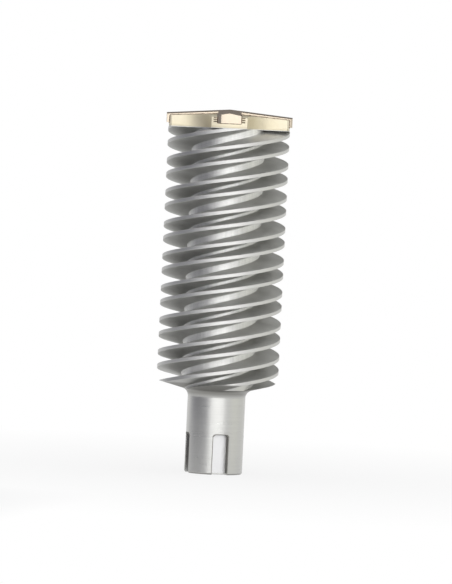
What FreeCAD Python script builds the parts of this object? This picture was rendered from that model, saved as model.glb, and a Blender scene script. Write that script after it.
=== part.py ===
import FreeCAD, Part
import Sketcher
import math
import os

# Hammer drill bit: slotted shank, four-flight spiral body, carbide-tipped cross head.
# Frame: origin at the centre of the shank's end face, +Z towards the tip, the long
# carbide plate along X. All sizes in millimetres and degrees.

os.makedirs("parts", exist_ok=True)
doc = FreeCAD.newDocument("HammerDrillBit")

# Driving dimensions
SIZES = [
    ("overall_length", 113.4),       # end face of the shank to the point
    ("shank_diameter", 18.0),
    ("shank_length", 25.8),          # end face to the foot of the flared shoulder
    ("end_chamfer", 0.4),
    ("shoulder_angle", 14.8),        # rise of the flared shoulder above the horizontal
    ("neck_radius", 2.5),            # fillet between shank and shoulder
    ("slot_width", 4.8),             # drive slots, open at the end face
    ("slot_depth", 3.0),
    ("slot_length", 12.4),
    ("slot_corner", 0.7),
    ("slot_azimuth", 13.0),          # first drive slot, from +X towards +Y
    ("spiral_diameter", 37.9),       # over the lands of the flights
    ("root_diameter", 22.4),         # at the bottom of the flutes
    ("lead", 19.89),                 # rise of one flight in a full turn
    ("land_width", 1.05),            # along the axis, on top of a flight
    ("wide_share", 0.556),           # wide spacing as a share of half the lead
    ("root_inset", 1.15),            # a flute narrows by this on each side, lip to root
    ("flute_phase", 1.93),           # a wide flute's middle over +X, above the head's foot
    ("web_width", 11.1),             # arms of the cross-shaped head
    ("web_fillet", 8.0),             # concave corner between two arms
    ("head_diameter", 37.6),
    ("head_length", 6.0),            # from the point down to the foot of the head
    ("crown_drop", 1.15),            # steel crown below the point
    ("crown_angle", 4.2),
    ("plate_length", 39.2),          # full-width carbide plate: the drilled diameter
    ("plate_thickness", 5.6),
    ("plate_height", 4.8),
    ("plate_angle", 4.95),           # ridge falls towards both ends
    ("plate_roof", 0.5),             # ridge above the long edges
    ("side_reach", 19.3),            # outer end of a side cutter, from the axis
    ("side_thickness", 7.2),
    ("side_height", 4.4),
    ("side_angle", 4.0),
    ("side_roof", 0.65),
    ("relief_depth", 1.4),           # trailing end corners are ground away by this
    ("braze_gap", 0.1),
]

sheet = doc.addObject("Spreadsheet::Sheet", "Sizes")
for row, (alias, size) in enumerate(SIZES, start=1):
    sheet.set("A%d" % row, alias)
    sheet.set("B%d" % row, str(size))
    sheet.setAlias("B%d" % row, alias)
doc.recompute()

# Lengths worked out from the driving ones, as expressions
SHANK_R = "Sizes.shank_diameter / 2"
SPIRAL_R = "Sizes.spiral_diameter / 2"
ROOT_R = "Sizes.root_diameter / 2"
PLATE_R = "Sizes.plate_length / 2"
OUTSIDE = "Sizes.plate_length"
ABOVE = "Sizes.overall_length * 1.1"
CROWN_Z = "Sizes.overall_length - Sizes.crown_drop"
HEAD_R = "Sizes.head_diameter / 2"
HEAD_Z = "Sizes.overall_length - Sizes.head_length"
SHOULDER_Z = ("Sizes.shank_length + (Sizes.spiral_diameter - Sizes.shank_diameter) / 2"
              " * tan(Sizes.shoulder_angle * 1deg)")
PLATE_Z = "Sizes.overall_length - Sizes.plate_height"
SIDE_Z = "Sizes.overall_length - Sizes.side_height"


def value(expression):
    result = sheet.evalExpression(expression)
    return float(getattr(result, "Value", result))


def origin_feature(body, role):
    return [item for item in body.Origin.OriginFeatures if item.Role == role][0]


def new_body(label):
    body = doc.addObject("PartDesign::Body", label)
    body.Label = label
    return body


def new_sketch(body, name, plane, lift=None):
    """An empty sketch on one of the body's planes, lifted along the plane's normal."""
    sketch = body.newObject("Sketcher::SketchObject", name)
    sketch.AttachmentSupport = [(origin_feature(body, plane), "")]
    sketch.MapMode = "FlatFace"
    if lift:
        sketch.setExpression(".AttachmentOffset.Base.z", lift)
    return sketch


def tie(sketch, line, end, across, along):
    """Fix one end of a line at a place given by two expressions."""
    for kind, expression in (("DistanceX", across), ("DistanceY", along)):
        index = sketch.addConstraint(
            Sketcher.Constraint(kind, -1, 1, line, end, value(expression)))
        sketch.setExpression("Constraints[%d]" % index, expression)


def draw_polygon(sketch, corners):
    """A closed polygon whose corners are pairs of expressions."""
    places = [FreeCAD.Vector(value(x), value(y), 0) for x, y in corners]
    first = sketch.GeometryCount
    count = len(corners)
    for index in range(count):
        sketch.addGeometry(Part.LineSegment(places[index], places[(index + 1) % count]))
    for index in range(count):
        follower = first + (index + 1) % count
        sketch.addConstraint(Sketcher.Constraint("Coincident", first + index, 2, follower, 1))
    for index, (across, along) in enumerate(corners):
        tie(sketch, first + index, 1, across, along)


def draw_circle(sketch, radius):
    circle = Part.Circle(FreeCAD.Vector(0, 0, 0), FreeCAD.Vector(0, 0, 1), value(radius))
    line = sketch.addGeometry(circle)
    sketch.addConstraint(Sketcher.Constraint("Coincident", line, 3, -1, 1))
    index = sketch.addConstraint(Sketcher.Constraint("Radius", line, value(radius)))
    sketch.setExpression("Constraints[%d]" % index, radius)


def pocket(body, name, sketch, reverse=False):
    """Cut a sketch through everything on one side of its plane."""
    cut = body.newObject("PartDesign::Pocket", name)
    cut.Profile = sketch
    cut.Type = "ThroughAll"
    cut.Reversed = reverse
    return cut


def around(body, name, features, count, angle=360):
    """Repeat features about the body's own Z axis."""
    pattern = body.newObject("PartDesign::PolarPattern", name)
    pattern.Originals = features
    pattern.Axis = (origin_feature(body, "Z_Axis"), [""])
    pattern.Angle = angle
    pattern.Occurrences = count
    body.Tip = pattern
    return pattern


def turn_blank(body):
    """The turned bar: shank, flared shoulder, spiral blank and shallow conical crown."""
    sketch = new_sketch(body, "BlankOutline", "XZ_Plane")
    draw_polygon(sketch, [
        ("0", "0"),
        (SHANK_R + " - Sizes.end_chamfer", "0"),
        (SHANK_R, "Sizes.end_chamfer"),
        (SHANK_R, "Sizes.shank_length"),
        (SPIRAL_R, SHOULDER_Z),
        (SPIRAL_R, HEAD_Z),
        ("0", HEAD_Z),
    ])
    blank = body.newObject("PartDesign::Revolution", "Blank")
    blank.Profile = sketch
    blank.ReferenceAxis = (origin_feature(body, "Z_Axis"), [""])
    blank.Angle = 360
    doc.recompute()
    neck = body.newObject("PartDesign::Fillet", "Neck")
    neck.Base = (blank, [edge_at(blank, value(SHANK_R), value("Sizes.shank_length"))])
    neck.setExpression("Radius", "Sizes.neck_radius")


def edge_at(feature, radius, height):
    """Name of the round edge of a feature with this radius at this height."""
    for index, edge in enumerate(feature.Shape.Edges, start=1):
        if not isinstance(edge.Curve, Part.Circle):
            continue
        box = edge.BoundBox
        same_height = abs(box.ZMin - height) < 1e-4 and abs(box.ZMax - height) < 1e-4
        if same_height and abs(edge.Curve.Radius - radius) < 1e-4:
            return "Edge%d" % index
    raise RuntimeError("no round edge at the neck")


def flute_channel(spacing, top):
    """A spiral channel with sloping flanks that runs past both ends of the flutes.

    The channel's middle passes over +X at the height top.
    """
    lead = value("Sizes.lead")
    lip_r = value(SPIRAL_R)
    root_r = value(ROOT_R)
    land = value("Sizes.land_width")
    inset = value("Sizes.root_inset")
    start_limit = value("Sizes.shank_length") - lead / 4
    foot = top - lead / 2 * math.ceil((top - start_limit) / (lead / 2))
    half_lip = (spacing - land) / 2
    half_root = half_lip - inset
    beyond_r = lip_r + land
    half_beyond = half_lip + inset * land / (lip_r - root_r)
    corners = [
        FreeCAD.Vector(root_r, 0, -half_root),
        FreeCAD.Vector(beyond_r, 0, -half_beyond),
        FreeCAD.Vector(beyond_r, 0, half_beyond),
        FreeCAD.Vector(root_r, 0, half_root),
    ]
    climb = value(HEAD_Z) + lead / 4 - foot
    spine = Part.makeLongHelix(lead, climb, (lip_r + root_r) / 2, 0, False)
    sweep = Part.BRepOffsetAPI.MakePipeShell(Part.Wire(spine.Edges))
    sweep.setFrenetMode(True)
    sweep.add(Part.makePolygon(corners + corners[:1]), False, False)
    sweep.build()
    sweep.makeSolid()
    channel = sweep.shape()
    channel.translate(FreeCAD.Vector(0, 0, foot))
    return channel


def mill_flutes(bar):
    """Cut two wide and two narrow flutes, which leave four thin flights."""
    half_lead = value("Sizes.lead / 2")
    wide = half_lead * value("Sizes.wide_share")
    wide_top = value(HEAD_Z) + value("Sizes.flute_phase")
    channels = []
    for spacing, top in ((wide, wide_top), (half_lead - wide, wide_top - half_lead / 2)):
        for turn in (0, 180):
            channel = flute_channel(spacing, top)
            channel.rotate(FreeCAD.Vector(), FreeCAD.Vector(0, 0, 1), turn)
            channels.append(channel)
    cutters = doc.addObject("Part::Feature", "FluteChannels")
    cutters.Shape = Part.makeCompound(channels)
    fluted = doc.addObject("Part::Cut", "FlutedBar")
    fluted.Base = bar
    fluted.Tool = cutters
    return fluted


def build_head(body):
    """The cross-shaped head: four arms with concave corners and a conical crown."""
    wall = "Sizes.web_width / 2"
    bend = "Sizes.web_width / 2 + Sizes.web_fillet"
    disc = new_sketch(body, "HeadDisc", "XY_Plane", HEAD_Z)
    draw_circle(disc, HEAD_R)
    head = body.newObject("PartDesign::Pad", "Head")
    head.Profile = disc
    head.setExpression("Length", "Sizes.head_length - Sizes.crown_drop")
    doc.recompute()
    outline = new_sketch(body, "RecessOutline", "XY_Plane", HEAD_Z)
    draw_recess(outline, wall, bend)
    recess = pocket(body, "Recess", outline, reverse=True)
    around(body, "Recesses", [recess], 4)
    crown = new_sketch(body, "CrownOutline", "XZ_Plane")
    drop = "Sizes.plate_length * tan(Sizes.crown_angle * 1deg)"
    draw_polygon(crown, [
        ("0", CROWN_Z),
        (OUTSIDE, "%s - %s" % (CROWN_Z, drop)),
        (OUTSIDE, ABOVE),
        ("0", ABOVE),
    ])
    groove = body.newObject("PartDesign::Groove", "Crown")
    groove.Profile = crown
    groove.ReferenceAxis = (origin_feature(body, "Z_Axis"), [""])
    groove.Angle = 360


def draw_recess(sketch, wall, bend):
    """A square notch with a rounded inner corner, open towards the outside."""
    places = [(wall, bend), (wall, OUTSIDE), (OUTSIDE, OUTSIDE), (OUTSIDE, wall), (bend, wall)]
    points = [FreeCAD.Vector(value(x), value(y), 0) for x, y in places]
    for index in range(4):
        sketch.addGeometry(Part.LineSegment(points[index], points[index + 1]))
    centre = FreeCAD.Vector(value(bend), value(bend), 0)
    circle = Part.Circle(centre, FreeCAD.Vector(0, 0, 1), value("Sizes.web_fillet"))
    arc = sketch.addGeometry(Part.ArcOfCircle(circle, math.pi, 1.5 * math.pi))
    for index in range(3):
        sketch.addConstraint(Sketcher.Constraint("Coincident", index, 2, index + 1, 1))
    sketch.addConstraint(Sketcher.Constraint("Coincident", arc, 1, 0, 1))
    sketch.addConstraint(Sketcher.Constraint("Coincident", arc, 2, 3, 2))
    for index in range(4):
        tie(sketch, index, 1, *places[index])
    tie(sketch, 3, 2, *places[4])
    index = sketch.addConstraint(
        Sketcher.Constraint("Radius", arc, value("Sizes.web_fillet")))
    sketch.setExpression("Constraints[%d]" % index, "Sizes.web_fillet")


def rectangle(left, right, low, high):
    return [(left, low), (right, low), (right, high), (left, high)]


def mill_seats(body):
    """Slots for the long plate and, across it, for the two side cutters."""
    half = "Sizes.plate_thickness / 2 + Sizes.braze_gap"
    sketch = new_sketch(body, "PlateSeatOutline", "XY_Plane", PLATE_Z)
    draw_polygon(sketch, rectangle("-" + OUTSIDE, OUTSIDE, "-(%s)" % half, half))
    pocket(body, "PlateSeat", sketch, reverse=True)
    half = "Sizes.side_thickness / 2 + Sizes.braze_gap"
    sketch = new_sketch(body, "SideSeatOutline", "XY_Plane", SIDE_Z)
    draw_polygon(sketch, rectangle("-(%s)" % half, half, "-" + OUTSIDE, OUTSIDE))
    body.Tip = pocket(body, "SideSeats", sketch, reverse=True)


def mill_drive_slots(body):
    """Three drive slots a quarter turn apart, open at the end face."""
    reach = "(Sizes.shank_diameter / 2 - Sizes.slot_depth)"
    sketch = new_sketch(body, "DriveSlotOutline", "YZ_Plane")
    sketch.AttachmentOffset = FreeCAD.Placement(
        FreeCAD.Vector(), FreeCAD.Rotation(FreeCAD.Vector(0, 1, 0), 1))
    turn = "Sizes.slot_azimuth * 1deg"
    sketch.setExpression(".AttachmentOffset.Rotation.Angle", turn)
    sketch.setExpression(".AttachmentOffset.Base.x", "%s * sin(%s)" % (reach, turn))
    sketch.setExpression(".AttachmentOffset.Base.z", "%s * cos(%s)" % (reach, turn))
    half = "Sizes.slot_width / 2"
    draw_polygon(sketch, [
        ("-" + half, "-Sizes.slot_width"),
        (half, "-Sizes.slot_width"),
        (half, "Sizes.slot_length - Sizes.slot_corner"),
        (half + " - Sizes.slot_corner", "Sizes.slot_length"),
        ("Sizes.slot_corner - " + half, "Sizes.slot_length"),
        ("-" + half, "Sizes.slot_length - Sizes.slot_corner"),
    ])
    slot = pocket(body, "DriveSlot", sketch, reverse=True)
    around(body, "DriveSlots", [slot], 3, -180)


def make_steel_body():
    """The one-piece steel body: fluted bar and cross-shaped head."""
    bar = new_body("bar")
    turn_blank(bar)
    mill_drive_slots(bar)
    head = new_body("head")
    build_head(head)
    mill_seats(head)
    body = doc.addObject("Part::Fuse", "body")
    body.Base = mill_flutes(bar)
    body.Tool = head
    body.Label = "body"
    return body


def house(thickness, foot, ridge, roof):
    """Upright section of a cutter: a block with a low pitched roof."""
    half = thickness + " / 2"
    eave = "%s - %s" % (ridge, roof)
    return [("-" + half, foot), (half, foot), (half, eave), ("0", ridge), ("-" + half, eave)]


def cutter_arm(body, near, far, thickness, foot, angle, roof):
    """A tapering arm along +X, lofted between two upright sections."""
    sections = []
    for name, reach in (("InnerSection", near), ("OuterSection", far)):
        ridge = "Sizes.overall_length - (%s) * tan(%s * 1deg)" % (reach, angle)
        sketch = new_sketch(body, name, "YZ_Plane", reach)
        draw_polygon(sketch, house(thickness, foot, ridge, roof))
        sections.append(sketch)
    arm = body.newObject("PartDesign::AdditiveLoft", "Arm")
    arm.Profile = sections[0]
    arm.Sections = [sections[1]]
    arm.Ruled = True
    return arm


def relief_outline(sketch, reach, thickness):
    """Ground-away corner on the trailing side of an arm's outer end."""
    half = thickness + " / 2"
    draw_polygon(sketch, [
        ("%s - Sizes.relief_depth / 2" % reach, "-%s - Sizes.relief_depth" % half),
        ("%s + Sizes.relief_depth" % reach, "-%s - Sizes.relief_depth" % half),
        ("%s + Sizes.relief_depth" % reach, "-%s + Sizes.relief_depth" % half),
        (reach, "-%s + Sizes.relief_depth" % half),
        ("%s - Sizes.relief_depth / 2" % reach, "-%s" % half),
    ])


def grind_ends(body, reach, thickness, count):
    """Round the outer ends to the drilled circle and relieve their trailing corners."""
    sketch = new_sketch(body, "DrilledCircle", "XY_Plane")
    draw_circle(sketch, reach)
    draw_circle(sketch, OUTSIDE)
    pocket(body, "RoundedEnds", sketch, reverse=True)
    sketch = new_sketch(body, "ReliefOutline", "XY_Plane")
    relief_outline(sketch, reach, thickness)
    relief = pocket(body, "Relief", sketch, reverse=True)
    if count > 1:
        around(body, "Reliefs", [relief], count)
    else:
        body.Tip = relief


def make_main_cutter():
    body = new_body("main_cutter")
    arm = cutter_arm(body, "0", PLATE_R, "Sizes.plate_thickness", PLATE_Z,
                     "Sizes.plate_angle", "Sizes.plate_roof")
    mirrored = body.newObject("PartDesign::Mirrored", "OtherArm")
    mirrored.Originals = [arm]
    mirrored.MirrorPlane = (origin_feature(body, "YZ_Plane"), [""])
    body.Tip = mirrored
    grind_ends(body, PLATE_R, "Sizes.plate_thickness", 2)
    return body


def make_side_cutter(label, azimuth):
    body = new_body(label)
    inner = "Sizes.plate_thickness / 2 + Sizes.braze_gap"
    cutter_arm(body, inner, "Sizes.side_reach", "Sizes.side_thickness", SIDE_Z,
               "Sizes.side_angle", "Sizes.side_roof")
    grind_ends(body, "Sizes.side_reach", "Sizes.side_thickness", 1)
    turn = FreeCAD.Rotation(FreeCAD.Vector(0, 0, 1), azimuth)
    body.Placement = FreeCAD.Placement(FreeCAD.Vector(), turn)
    return body


def check_document():
    for item in doc.Objects:
        if "Invalid" in item.State or "Error" in item.State:
            raise RuntimeError("failed object: " + item.Label)


def export(bodies):
    for body in bodies:
        shape = body.Shape
        if shape.isNull() or not shape.isValid() or len(shape.Solids) != 1:
            raise RuntimeError("bad solid: " + body.Label)
        print(body.Label, "volume", round(shape.Volume, 2), "faces", len(shape.Faces))
        shape.exportStep("parts/%s.step" % body.Label)


parts = [
    make_steel_body(),
    make_main_cutter(),
    make_side_cutter("front_cutter", -90),
    make_side_cutter("rear_cutter", 90),
]
doc.recompute()
check_document()
export(parts)
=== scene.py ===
import math

import bpy
from mathutils import Matrix, Vector


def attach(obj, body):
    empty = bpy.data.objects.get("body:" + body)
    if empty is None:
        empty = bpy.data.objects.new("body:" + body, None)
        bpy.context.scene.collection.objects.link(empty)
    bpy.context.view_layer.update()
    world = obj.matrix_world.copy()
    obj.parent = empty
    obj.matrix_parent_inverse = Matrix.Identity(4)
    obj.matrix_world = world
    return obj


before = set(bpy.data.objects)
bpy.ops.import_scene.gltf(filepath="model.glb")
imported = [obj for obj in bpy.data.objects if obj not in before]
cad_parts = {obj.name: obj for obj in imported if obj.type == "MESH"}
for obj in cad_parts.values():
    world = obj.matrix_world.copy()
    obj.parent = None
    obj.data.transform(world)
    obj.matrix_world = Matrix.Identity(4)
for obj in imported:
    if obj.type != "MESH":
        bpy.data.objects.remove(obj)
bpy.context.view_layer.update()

# The picture: its height in pixels, and the real size of a pixel at the bit's axis
PICTURE_HEIGHT = 584
PIXEL = 0.0003115
SENSOR = 0.036

# Camera: the point of the bit in the picture's middle, and how the camera stands
TARGET = Vector((0.00140, 0.0, 0.0566))
DISTANCE = 1.6
ELEVATION = math.radians(1.7)
LEAN = math.radians(2.7)

# The spiral: rise of one flight in a full turn, root and rim radius, flank slope, and for
# each pair of flutes the half width of the root, its middle's height over +X and the
# radius of the fillets in its corners
LEAD = 0.01989
ROOT_R = 0.0112
RIM_R = 0.01895
FLANK_RISE = 0.00115
FLUTES = (
    (0.0010897, 0.10933, 0.00036),
    (0.0005328, 0.1043575, 0.00024),
)

# The shank's radius, and the shoulder's foot, slope and top
SHANK_R = 0.009
SHOULDER_Z = 0.0258
SHOULDER_SLOPE = math.tan(math.radians(14.8))
SHOULDER_TOP = 0.0285

# The head: foot, height and slope of the crown, and radius
HEAD_FOOT = 0.1074
CROWN_Z = 0.11225
CROWN_SLOPE = math.tan(math.radians(4.2))
HEAD_R = 0.0188

# The drive slots: length, half width, corner radius and the first one's azimuth in degrees
SLOT_TOP = 0.0124
SLOT_HALF = 0.0024
SLOT_CORNER = 0.0007
SLOT_AZIMUTH = 13.0

# Seats of the cutters: half width, foot, and how near the axis their seams begin
PLATE_SEAT = (0.0029, 0.1086, 0.0037)
SIDE_SEAT = (0.0037, 0.1090, 0.0029)
SEAM_RADIUS = 0.00017

# Braze lumps beside the side cutters and the dark lines of painted shade round them: heights,
# place across the block and length
LUMPS = (0.10975, 0.11042)
LUMP_SHADE_LINES = (0.10940, 0.11008, 0.11070)
LUMP_START = 0.0038
LUMP_LENGTH = 0.0011

# Finishes, each with its darker and its lighter tone
TURNED = ((0.505, 0.505, 0.49), (0.54, 0.54, 0.525))
LANDS = ((0.54, 0.54, 0.525), (0.64, 0.64, 0.625))
ROOTS = ((0.66, 0.66, 0.645), (0.90, 0.90, 0.885))
BLASTED = ((0.65, 0.65, 0.635), (0.73, 0.73, 0.715))
CREAM = ((0.76, 0.69, 0.52), (0.84, 0.77, 0.61))
OLIVE = ((0.51, 0.45, 0.31), (0.59, 0.53, 0.39))
GROUND_CARBIDE = ((0.54, 0.46, 0.36), (0.63, 0.555, 0.455))
DARK_ROOF_CARBIDE = ((0.15, 0.12, 0.095), (0.23, 0.185, 0.15))
BRAZE = ((0.07, 0.04, 0.025), (0.30, 0.20, 0.13))

# Single tones of the steel: the slot floors, the painted shade in the drive slots and under the
# shoulder, and dull metal seen edge-on
SLOT_FLOOR = (0.575, 0.575, 0.58)
SHADE_TONE = (0.21, 0.205, 0.19)
DULL = (0.50, 0.50, 0.49)

WHITE = (1.0, 1.0, 1.0)
FLOOR_REACH = 3.0


def new_material(name):
    material = bpy.data.materials.new(name)
    material.use_nodes = True
    tree = material.node_tree
    tree.nodes.clear()
    return material, tree


def node(tree, kind, **settings):
    made = tree.nodes.new(kind)
    for name, setting in settings.items():
        setattr(made, name, setting)
    return made


def link(tree, source, target):
    tree.links.new(source, target)


def feed(tree, source, socket):
    """Link a socket, or set a plain number, vector or colour."""
    if isinstance(source, (int, float)):
        socket.default_value = source
    elif isinstance(source, tuple):
        socket.default_value = (*source, 1.0) if socket.type == "RGBA" else source
    else:
        link(tree, source, socket)


def noise(tree, coordinates, scale, detail, stretch=None):
    """Noise over object coordinates, stretched along an axis where asked."""
    source = coordinates
    if stretch:
        mapping = node(tree, "ShaderNodeMapping")
        mapping.inputs["Scale"].default_value = stretch
        link(tree, coordinates, mapping.inputs["Vector"])
        source = mapping.outputs["Vector"]
    texture = node(tree, "ShaderNodeTexNoise")
    texture.inputs["Scale"].default_value = scale
    texture.inputs["Detail"].default_value = detail
    link(tree, source, texture.inputs["Vector"])
    return texture.outputs["Fac"]


def ramp(tree, factor, stops):
    """A colour ramp from (position, colour) pairs."""
    made = node(tree, "ShaderNodeValToRGB")
    elements = made.color_ramp.elements
    while len(elements) < len(stops):
        elements.new(1.0)
    for element, (position, colour) in zip(elements, stops):
        element.position = position
        element.color = (*colour, 1.0)
    link(tree, factor, made.inputs["Fac"])
    return made.outputs["Color"]


def tones(tree, factor, finish, start=0.3, end=0.7):
    """The darker to the lighter tone of a finish."""
    return ramp(tree, factor, [(start, finish[0]), (end, finish[1])])


def between(tree, factor, low, high, start, end):
    """Stretch a factor's range from start to end to run from low to high."""
    made = node(tree, "ShaderNodeMapRange")
    made.inputs["From Min"].default_value = start
    made.inputs["From Max"].default_value = end
    made.inputs["To Min"].default_value = low
    made.inputs["To Max"].default_value = high
    link(tree, factor, made.inputs["Value"])
    return made.outputs["Result"]


def patches(tree, factor, low, high):
    """A number that runs from low to high over a noise's usual range."""
    return between(tree, factor, low, high, 0.3, 0.7)


def math_node(tree, operation, first, second=None):
    """One arithmetic node; inputs are sockets or plain numbers."""
    made = node(tree, "ShaderNodeMath", operation=operation)
    feed(tree, first, made.inputs[0])
    if second is not None:
        feed(tree, second, made.inputs[1])
    return made.outputs["Value"]


def vector_node(tree, operation, first, second=None):
    """The outputs of one vector node; inputs are sockets or plain triples."""
    made = node(tree, "ShaderNodeVectorMath", operation=operation)
    feed(tree, first, made.inputs[0])
    if second is not None:
        feed(tree, second, made.inputs[1])
    return made.outputs


def axes(tree, vector):
    """The X, Y and Z of a vector."""
    split = node(tree, "ShaderNodeSeparateXYZ")
    link(tree, vector, split.inputs["Vector"])
    return split.outputs["X"], split.outputs["Y"], split.outputs["Z"]


def mix_colours(tree, factor, low, high, blend="MIX"):
    made = node(tree, "ShaderNodeMix", data_type="RGBA", blend_type=blend)
    feed(tree, factor, made.inputs[0])
    feed(tree, low, made.inputs[6])
    feed(tree, high, made.inputs[7])
    return made.outputs[2]


def mix_values(tree, factor, low, high):
    made = node(tree, "ShaderNodeMix")
    feed(tree, factor, made.inputs[0])
    feed(tree, low, made.inputs[2])
    feed(tree, high, made.inputs[3])
    return made.outputs[0]


def mix_shaders(tree, share, first, second):
    made = node(tree, "ShaderNodeMixShader")
    link(tree, share, made.inputs["Fac"])
    link(tree, first, made.inputs[1])
    link(tree, second, made.inputs[2])
    return made.outputs["Shader"]


def metal_shader(tree, colour, roughness, relief, strength, depth):
    """A metal with a fine relief, joined to the output; returns its bump and its shader."""
    bump = node(tree, "ShaderNodeBump")
    bump.inputs["Strength"].default_value = strength
    bump.inputs["Distance"].default_value = depth
    link(tree, relief, bump.inputs["Height"])
    shader = node(tree, "ShaderNodeBsdfPrincipled")
    link(tree, colour, shader.inputs["Base Color"])
    link(tree, roughness, shader.inputs["Roughness"])
    link(tree, bump.outputs["Normal"], shader.inputs["Normal"])
    output = node(tree, "ShaderNodeOutputMaterial")
    link(tree, shader.outputs["BSDF"], output.inputs["Surface"])
    return bump, shader


def cutting_marks(tree, place, height):
    """Fine streaks along the flights, in a frame that turns with them, and marks across."""
    turned = node(tree, "ShaderNodeVectorRotate", rotation_type="Z_AXIS")
    link(tree, place, turned.inputs["Vector"])
    angle = math_node(tree, "MULTIPLY", height, -2 * math.pi / LEAD)
    link(tree, angle, turned.inputs["Angle"])
    streaks = noise(tree, turned.outputs["Vector"], scale=3200.0, detail=3.0,
                    stretch=(1.0, 1.0, 0.02))
    chatter = noise(tree, place, scale=1300.0, detail=1.0, stretch=(1.0, 1.0, 0.08))
    return streaks, chatter


def slot_mouth_shade(tree, place, height):
    """Thin lines of painted shade round the mouths of the three drive slots, which lie a quarter
    turn apart.

    They follow the distance from a slot's outline, which is rounded at its upper corners.
    """
    turned = node(tree, "ShaderNodeVectorRotate", rotation_type="Z_AXIS")
    turned.inputs["Angle"].default_value = -math.radians(SLOT_AZIMUTH)
    link(tree, place, turned.inputs["Vector"])
    x, y, _ = axes(tree, turned.outputs["Vector"])
    across = math_node(tree, "MINIMUM", math_node(tree, "ABSOLUTE", x),
                       math_node(tree, "ABSOLUTE", y))
    beside = math_node(tree, "SUBTRACT", across, SLOT_HALF - SLOT_CORNER)
    above = math_node(tree, "SUBTRACT", height, SLOT_TOP - SLOT_CORNER)
    beyond = [math_node(tree, "POWER", math_node(tree, "MAXIMUM", side, 0.0), 2.0)
              for side in (beside, above)]
    outside = math_node(tree, "SQRT", math_node(tree, "ADD", *beyond))
    inside = math_node(tree, "MINIMUM", math_node(tree, "MAXIMUM", beside, above), 0.0)
    gap = math_node(tree, "SUBTRACT", math_node(tree, "ADD", outside, inside), SLOT_CORNER)
    line = between(tree, math_node(tree, "ABSOLUTE", gap), low=1.0, high=0.0,
                   start=0.00014, end=0.00034)
    not_behind = math_node(tree, "LESS_THAN", y, 2 * SLOT_HALF)
    return math_node(tree, "MULTIPLY", line, not_behind)


def slot_masks(tree, place, height, normal):
    """Masks for painted shade and for ground floors in the drive slots, and the distance from
    the axis.

    Painted shade lies on the flanks that take the drive and round the mouths.
    """
    radial = vector_node(tree, "MULTIPLY", place, (1.0, 1.0, 0.0))["Vector"]
    unit = vector_node(tree, "NORMALIZE", radial)["Vector"]
    reach = vector_node(tree, "LENGTH", radial)["Value"]
    around = vector_node(tree, "CROSS_PRODUCT", unit, (0.0, 0.0, 1.0))["Vector"]
    driven = vector_node(tree, "DOT_PRODUCT", around, normal)["Value"]
    flank = between(tree, driven, low=0.0, high=1.0, start=0.35, end=0.75)
    level = math_node(tree, "MULTIPLY", math_node(tree, "GREATER_THAN", height, 0.0005),
                      math_node(tree, "LESS_THAN", height, SLOT_TOP + 0.0004))
    outer = math_node(tree, "GREATER_THAN", reach, SHANK_R - 0.0001)
    mouth = math_node(tree, "MULTIPLY", slot_mouth_shade(tree, place, height), outer)
    # Painted shade: the drive flanks and the mouth lines are darkened inside the slots' length
    slot_shade = math_node(tree, "MULTIPLY", math_node(tree, "MAXIMUM", flank, mouth), level)
    deep = math_node(tree, "LESS_THAN", reach, SHANK_R - 0.0006)
    floor = math_node(tree, "MULTIPLY", level, deep)
    return slot_shade, floor, reach


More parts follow.
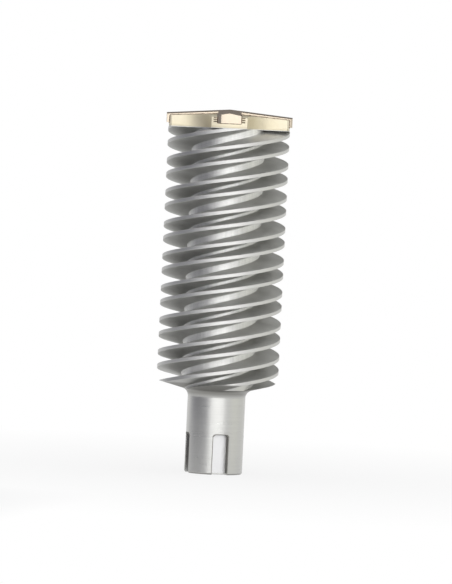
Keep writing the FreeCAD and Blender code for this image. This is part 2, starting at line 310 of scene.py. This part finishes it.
def steel_material():
    """Shot-blasted steel with a pale gold lacquer on the head.

    The flights' flanks are rougher than their lands and roots. The drive flanks of the
    slots, the lines round their mouths and the neck under the shoulder are darkened as painted
    shade, and the slot floors are ground. The lacquer runs to a darker olive towards the axis,
    and a band of painted shade darkens it at its lower edge.
    """
    material, tree = new_material("steel_and_lacquer")
    place = node(tree, "ShaderNodeTexCoord").outputs["Object"]
    height = axes(tree, place)[2]
    facing_up = axes(tree, node(tree, "ShaderNodeNewGeometry").outputs["True Normal"])[2]
    edges = node(tree, "ShaderNodeBevel", samples=6)
    edge_radius = between(tree, height, low=0.0004, high=0.00014,
                          start=SLOT_TOP + 0.0002, end=SLOT_TOP + 0.001)
    link(tree, edge_radius, edges.inputs["Radius"])
    mottling = noise(tree, place, scale=180.0, detail=4.0)
    streaks, chatter = cutting_marks(tree, place, height)
    rings = noise(tree, place, scale=2600.0, detail=2.0, stretch=(0.03, 0.03, 1.0))
    grain = noise(tree, place, scale=2600.0, detail=3.0)

    lacquered = between(tree, height, 0.0, 1.0, HEAD_FOOT + 0.0001, HEAD_FOOT + 0.0003)
    spiral = between(tree, height, 0.0, 1.0, SHOULDER_TOP - 0.001, SHOULDER_TOP + 0.004)
    flank = between(tree, math_node(tree, "ABSOLUTE", facing_up), 0.0, 1.0, 0.80, 0.92)
    # Painted shade on the faces that turn downward below the shoulder's top
    under = math_node(tree, "MULTIPLY", between(tree, facing_up, 1.0, 0.0, -0.5, 0.02),
                      between(tree, height, 1.0, 0.0, SHOULDER_TOP - 0.0006, SHOULDER_TOP))
    slot_shade, floor, reach = slot_masks(tree, place, height, edges.outputs["Normal"])
    # Painted shade of the neck's underside and of the drive slots, darkening the steel to the
    # shade tone
    painted_shade = math_node(tree, "MAXIMUM", math_node(tree, "MULTIPLY", under, 0.75), slot_shade)
    rooted = between(tree, reach, 1.0, 0.0, ROOT_R + 0.0004, ROOT_R + 0.0012)

    milled = mix_values(tree, 0.25, streaks, chatter)
    bright = mix_colours(tree, rooted, tones(tree, streaks, LANDS),
                         tones(tree, milled, ROOTS, start=0.34, end=0.66))
    spiral_steel = mix_colours(tree, flank, bright, tones(tree, mottling, BLASTED))
    steel = mix_colours(tree, spiral, tones(tree, rings, TURNED), spiral_steel)
    steel = mix_colours(tree, floor, steel, SLOT_FLOOR)
    steel = mix_colours(tree, painted_shade, steel, SHADE_TONE)
    # The lacquer runs to darker olive towards the axis, and its lowest band is darkened as
    # painted shade
    cream_share = math_node(tree, "MINIMUM", between(tree, reach, 0.0, 1.0, 0.008, 0.0165),
                      between(tree, height, 0.35, 1.0, HEAD_FOOT + 0.0003, HEAD_FOOT + 0.0010))
    gold = mix_colours(tree, cream_share, tones(tree, mottling, OLIVE), tones(tree, mottling, CREAM))
    colour = mix_colours(tree, lacquered, steel, gold)

    blasting = patches(tree, mottling, 0.50, 0.60)
    rough = mix_values(tree, spiral, patches(tree, rings, 0.27, 0.35),
                       patches(tree, streaks, 0.45, 0.58))
    rough = mix_values(tree, flank, rough, blasting)
    rough = mix_values(tree, lacquered, rough, blasting)
    rough = mix_values(tree, floor, rough, 0.32)
    dull = math_node(tree, "MAXIMUM", math_node(tree, "MULTIPLY", flank, spiral), slot_shade)

    relief = math_node(tree, "ADD", grain, streaks)
    bump, shader = metal_shader(tree, colour, rough, relief, strength=0.3, depth=0.00006)
    link(tree, edges.outputs["Normal"], bump.inputs["Normal"])
    link(tree, mix_values(tree, lacquered, 1.0, 0.6), shader.inputs["Metallic"])
    link(tree, mix_colours(tree, dull, WHITE, DULL), shader.inputs["Specular Tint"])
    return material


def carbide_material():
    """Lacquered carbide: cream ground faces, and dark brown roofs on the faces that turn upward.
    """
    material, tree = new_material("carbide")
    place = node(tree, "ShaderNodeTexCoord").outputs["Object"]
    facing_up = axes(tree, node(tree, "ShaderNodeNewGeometry").outputs["True Normal"])[2]
    roof = between(tree, facing_up, 0.0, 1.0, 0.4, 0.7)
    mottling = noise(tree, place, scale=420.0, detail=3.0)
    marks = noise(tree, place, scale=900.0, detail=2.0, stretch=(0.2, 0.2, 5.0))
    colour = mix_colours(tree, roof, tones(tree, mottling, GROUND_CARBIDE),
                         tones(tree, mottling, DARK_ROOF_CARBIDE))
    rough = mix_values(tree, roof, patches(tree, mottling, 0.34, 0.46), 0.7)
    shader = metal_shader(tree, colour, rough, marks, strength=0.15, depth=0.0001)[1]
    link(tree, mix_values(tree, roof, 0.9, 0.3), shader.inputs["Metallic"])
    return material


def braze_material():
    """Braze metal in the seams, dark where flux and lacquer have burnt on it."""
    material, tree = new_material("braze")
    place = node(tree, "ShaderNodeTexCoord").outputs["Object"]
    mottling = noise(tree, place, scale=1400.0, detail=4.0)
    colour = tones(tree, mottling, BRAZE, start=0.45, end=0.8)
    rough = patches(tree, mottling, 0.3, 0.55)
    shader = metal_shader(tree, colour, rough, mottling, strength=0.6, depth=0.0001)[1]
    shader.inputs["Metallic"].default_value = 0.8
    return material


def dress(name, material):
    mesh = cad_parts[name].data
    mesh.materials.clear()
    mesh.materials.append(material)


def add_piece(name, verts, faces, material, normals=None):
    """A smooth-shaded piece that rides on the bit."""
    mesh = bpy.data.meshes.new(name)
    mesh.from_pydata(verts, [], faces)
    mesh.materials.append(material)
    mesh.shade_smooth()
    if normals:
        mesh.normals_split_custom_set_from_vertices(normals)
    piece = bpy.data.objects.new(name, mesh)
    bpy.context.scene.collection.objects.link(piece)
    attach(piece, "root")


def grid_faces(first, rows, columns, closed=False):
    """Quads over rows of points, each row joined to the next."""
    faces = []
    for row in range(rows - 1):
        for column in range(columns if closed else columns - 1):
            here = first + row * columns + column
            beside = first + row * columns + (column + 1) % columns
            faces.append((here, beside, beside + columns, here + columns))
    return faces


def fillet_arc(half_root, radius, side, steps=6):
    """Points and normals of the fillet between root and flank, as (r, z) pairs.

    Side is 1 at the upper corner of the flute and -1 at the lower one.
    """
    depth = RIM_R - ROOT_R
    flank = math.atan2(FLANK_RISE, depth)
    half_corner = (math.pi / 2 + flank) / 2
    tangent = radius / math.tan(half_corner)
    centre = (ROOT_R + radius, half_root - tangent)
    arc = []
    for step in range(steps + 1):
        turn = (math.pi / 2 - flank) * step / steps
        out, up = -math.cos(turn), math.sin(turn)
        point = (centre[0] + radius * out, side * (centre[1] + radius * up))
        arc.append((point, (-out, -side * up)))
    return arc


def fillet_strip(arc, middle, start_turn, steps):
    """The points and normals of a fillet swept along its flight, row by row."""
    verts, normals = [], []
    for step in range(steps + 1):
        for (r, z), (out, up) in arc:
            low = SHOULDER_Z + (r - SHANK_R) * SHOULDER_SLOPE
            height = low + (HEAD_FOOT - low) * step / steps
            angle = start_turn + (height - z - middle) * 2 * math.pi / LEAD
            cos, sin = math.cos(angle), math.sin(angle)
            verts.append((r * cos, r * sin, height))
            along = Vector((-r * sin, r * cos, LEAD / (2 * math.pi)))
            normal = Vector((out * cos, out * sin, up))
            normal -= along * normal.dot(along) / along.length_squared
            normals.append(normal.normalized())
    return verts, normals


def root_fillets(material):
    """Narrow fillets in the corners of all the flutes, from the shoulder to the head."""
    verts, faces, normals = [], [], []
    steps = 300
    for half_root, middle, radius in FLUTES:
        for side in (1, -1):
            for start_turn in (0.0, math.pi):
                arc = fillet_arc(half_root, radius, side)
                strip = grid_faces(len(verts), steps + 1, len(arc))
                if side > 0:
                    strip = [face[::-1] for face in strip]
                faces.extend(strip)
                swept, turned = fillet_strip(arc, middle, start_turn, steps)
                verts.extend(swept)
                normals.extend(turned)
    add_piece("root_fillets", verts, faces, material, normals)


def crown_point(along, across):
    """A point of the conical crown, by its place along and across an arm."""
    reach = math.hypot(along, across)
    return Vector((along, across, CROWN_Z - reach * CROWN_SLOPE))


def seam_path(half, foot, inner):
    """The seam round a seat's outer end, on an arm along +X."""
    along_steps, down_steps, half_steps = 24, 6, 6
    outer = math.sqrt(HEAD_R ** 2 - half ** 2)
    side = [crown_point(inner + (outer - inner) * step / along_steps, -half)
            for step in range(along_steps + 1)]
    top = side[-1].z
    side += [Vector((outer, -half, top + (foot - top) * step / down_steps))
             for step in range(1, down_steps + 1)]
    bottom = []
    for step in range(1, 2 * half_steps):
        across = half * (step / half_steps - 1)
        bottom.append(Vector((math.sqrt(HEAD_R ** 2 - across ** 2), across, foot)))
    mirrored = [Vector((point.x, -point.y, point.z)) for point in reversed(side)]
    return side + bottom + mirrored


def bead(points, radius, seed, ring=8, ends=1.0):
    """A slightly uneven tube along a path, with closed ends that may be narrower."""
    verts, faces = [], []
    off_path = Vector((0.31, 0.17, 0.93))
    for index, point in enumerate(points):
        before = points[max(index - 1, 0)]
        after = points[min(index + 1, len(points) - 1)]
        tangent = (after - before).normalized()
        side = tangent.cross(off_path).normalized()
        other = tangent.cross(side)
        swell = 1 + 0.22 * math.sin(2.1 * index + seed) + 0.12 * math.sin(5.3 * index + 2 * seed)
        if index in (0, len(points) - 1):
            swell *= ends
        for corner in range(ring):
            turn = 2 * math.pi * corner / ring
            offset = side * math.cos(turn) + other * math.sin(turn)
            verts.append(point + radius * swell * offset)
    faces = grid_faces(0, len(points), ring, closed=True)
    faces.append(tuple(range(ring)))
    faces.append(tuple(range(len(verts) - 1, len(verts) - 1 - ring, -1)))
    return verts, faces


def braze_seams(material):
    """Braze beads round the seats of the plate and of both side cutters."""
    for name, seat, turn in (("plate_seam_right", PLATE_SEAT, 0),
                             ("plate_seam_left", PLATE_SEAT, 180),
                             ("side_seam_front", SIDE_SEAT, -90),
                             ("side_seam_rear", SIDE_SEAT, 90)):
        spin = Matrix.Rotation(math.radians(turn), 4, "Z")
        path = [spin @ point for point in seam_path(*seat)]
        verts, faces = bead(path, SEAM_RADIUS, seed=turn)
        add_piece(name, verts, faces, material)


def braze_lumps(name, material, heights, radius, proud):
    """Short beads across the block, on each side of a side cutter's outer end."""
    steps = 8
    for turn, end in ((-90, "front"), (90, "rear")):
        spin = Matrix.Rotation(math.radians(turn), 4, "Z")
        verts, faces = [], []
        for side in (1, -1):
            for height in heights:
                path = []
                for step in range(steps + 1):
                    across = side * (LUMP_START + LUMP_LENGTH * step / steps)
                    reach = math.sqrt(HEAD_R ** 2 - across ** 2) + proud
                    path.append(spin @ Vector((reach, across, height)))
                first = len(verts)
                lump, sides = bead(path, radius, seed=3 * side + 9000 * height, ends=0.5)
                verts += lump
                faces += [tuple(first + corner for corner in face) for face in sides]
        add_piece(name + "_" + end, verts, faces, material)


def seen_directly(tree):
    """One where a ray comes straight from the camera or off a shiny or clear surface."""
    path = node(tree, "ShaderNodeLightPath")
    total = path.outputs["Is Camera Ray"]
    for name in ("Is Glossy Ray", "Is Transmission Ray"):
        total = math_node(tree, "MAXIMUM", total, path.outputs[name])
    return total


def side_shade(tree, direction):
    """White all round but for a soft grey side to the left, which gives the metal shade.

    The right side is a shade warmer.
    """
    leftward = vector_node(tree, "DOT_PRODUCT", direction, (-0.95, -0.31, 0.0))["Value"]
    return ramp(tree, between(tree, leftward, 0.0, 1.0, -1.0, 1.0), [
        (0.0, (1.0, 1.0, 0.96)), (0.22, WHITE), (0.76, WHITE),
        (0.94, (0.22, 0.22, 0.27)), (1.0, (0.06, 0.06, 0.09))])


def make_floor():
    """A pale floor that keeps the shadow near the bit and fades to white further out.

    Further out still it takes the tones of the world, so that no horizon shows.
    """
    material, tree = new_material("floor")
    place = node(tree, "ShaderNodeTexCoord").outputs["Object"]
    distance = vector_node(tree, "LENGTH", place)["Value"]
    direction = vector_node(tree, "NORMALIZE", place)["Vector"]
    tone = mix_colours(tree, between(tree, distance, 0.0, 1.0, start=0.12, end=0.35),
                       WHITE, side_shade(tree, direction))
    diffuse = node(tree, "ShaderNodeBsdfDiffuse")
    diffuse.inputs["Color"].default_value = (0.86, 0.86, 0.86, 1.0)
    white = node(tree, "ShaderNodeEmission")
    link(tree, tone, white.inputs["Color"])
    share = math_node(tree, "MULTIPLY", seen_directly(tree),
                      between(tree, distance, 0.82, 1.0, start=0.02, end=0.20))
    output = node(tree, "ShaderNodeOutputMaterial")
    link(tree, mix_shaders(tree, share, diffuse.outputs["BSDF"], white.outputs["Emission"]),
         output.inputs["Surface"])
    mesh = bpy.data.meshes.new("floor")
    corners = [(x * FLOOR_REACH, y * FLOOR_REACH, 0)
               for x, y in ((-1, -1), (1, -1), (1, 1), (-1, 1))]
    mesh.from_pydata(corners, [], [(0, 1, 2, 3)])
    mesh.materials.append(material)
    floor = bpy.data.objects.new("floor", mesh)
    bpy.context.scene.collection.objects.link(floor)


def make_world():
    """A white studio with a grey side at the left and a grey card behind and above.

    Its light on matt surfaces is plain and a little weaker than what is seen of it.
    """
    world = bpy.data.worlds.new("studio")
    bpy.context.scene.world = world
    world.use_nodes = True
    tree = world.node_tree
    tree.nodes.clear()
    direction = node(tree, "ShaderNodeTexCoord").outputs["Generated"]
    cardward = vector_node(tree, "DOT_PRODUCT", direction, (0.20, 0.74, 0.64))["Value"]
    card = ramp(tree, cardward, [(0.80, WHITE), (0.95, (0.25, 0.25, 0.24))])
    seen = node(tree, "ShaderNodeBackground")
    link(tree, mix_colours(tree, 1.0, side_shade(tree, direction), card, blend="MULTIPLY"),
         seen.inputs["Color"])
    soft = node(tree, "ShaderNodeBackground")
    soft.inputs["Color"].default_value = (0.60, 0.60, 0.61, 1.0)
    output = node(tree, "ShaderNodeOutputWorld")
    link(tree, mix_shaders(tree, seen_directly(tree), soft.outputs["Background"],
                           seen.outputs["Background"]), output.inputs["Surface"])


def area_light(name, azimuth, elevation, distance, size, radiance, tint=WHITE):
    """A softbox of this width and height that faces the middle of the bit.

    The azimuth is counted from the camera's side, positive to the right.
    """
    side, rise = math.radians(azimuth), math.radians(elevation)
    away = Vector((math.sin(side) * math.cos(rise), -math.cos(side) * math.cos(rise),
                   math.sin(rise)))
    light = bpy.data.lights.new(name, "AREA")
    light.shape = "RECTANGLE"
    light.size, light.size_y = size
    light.energy = radiance * math.pi * size[0] * size[1]
    light.color = tint
    lamp = bpy.data.objects.new(name, light)
    bpy.context.scene.collection.objects.link(lamp)
    lamp.location = TARGET + distance * away
    lamp.rotation_euler = (-away).to_track_quat("-Z", "Y").to_euler()


def make_camera():
    """A long lens that rolls a little, as the bit leans in the picture."""
    camera = bpy.data.cameras.new("camera")
    camera.lens = 1000 * SENSOR * DISTANCE / (PIXEL * PICTURE_HEIGHT)
    camera.sensor_width = 1000 * SENSOR
    camera.clip_end = 20.0
    stand = bpy.data.objects.new("camera", camera)
    bpy.context.scene.collection.objects.link(stand)
    away = Vector((0.0, -math.cos(ELEVATION), math.sin(ELEVATION)))
    place = TARGET + DISTANCE * away
    aim = (-away).to_track_quat("-Z", "Y").to_matrix().to_4x4()
    roll = Matrix.Rotation(LEAN, 4, "Z")
    stand.matrix_world = Matrix.Translation(place) @ aim @ roll
    bpy.context.scene.camera = stand


bpy.context.scene.view_settings.view_transform = "Standard"
make_camera()
make_world()
make_floor()
area_light("front", azimuth=4, elevation=8, distance=2.4, size=(2.6, 2.0), radiance=2.2)
area_light("right", azimuth=80, elevation=10, distance=2.2, size=(1.4, 1.6), radiance=0.28,
           tint=(1.0, 1.0, 0.62))

steel = steel_material()
dress("body", steel)
root_fillets(steel)
carbide = carbide_material()
for cutter in ("main_cutter", "front_cutter", "rear_cutter"):
    dress(cutter, carbide)
braze = braze_material()
braze_seams(braze)
braze_lumps("braze_lumps", steel, LUMPS, radius=0.00026, proud=-0.00006)
# Thin dark braze beads between the lumps stand for the painted shade between them
braze_lumps("lump_shade_lines", braze, LUMP_SHADE_LINES, radius=0.00012, proud=0.00004)
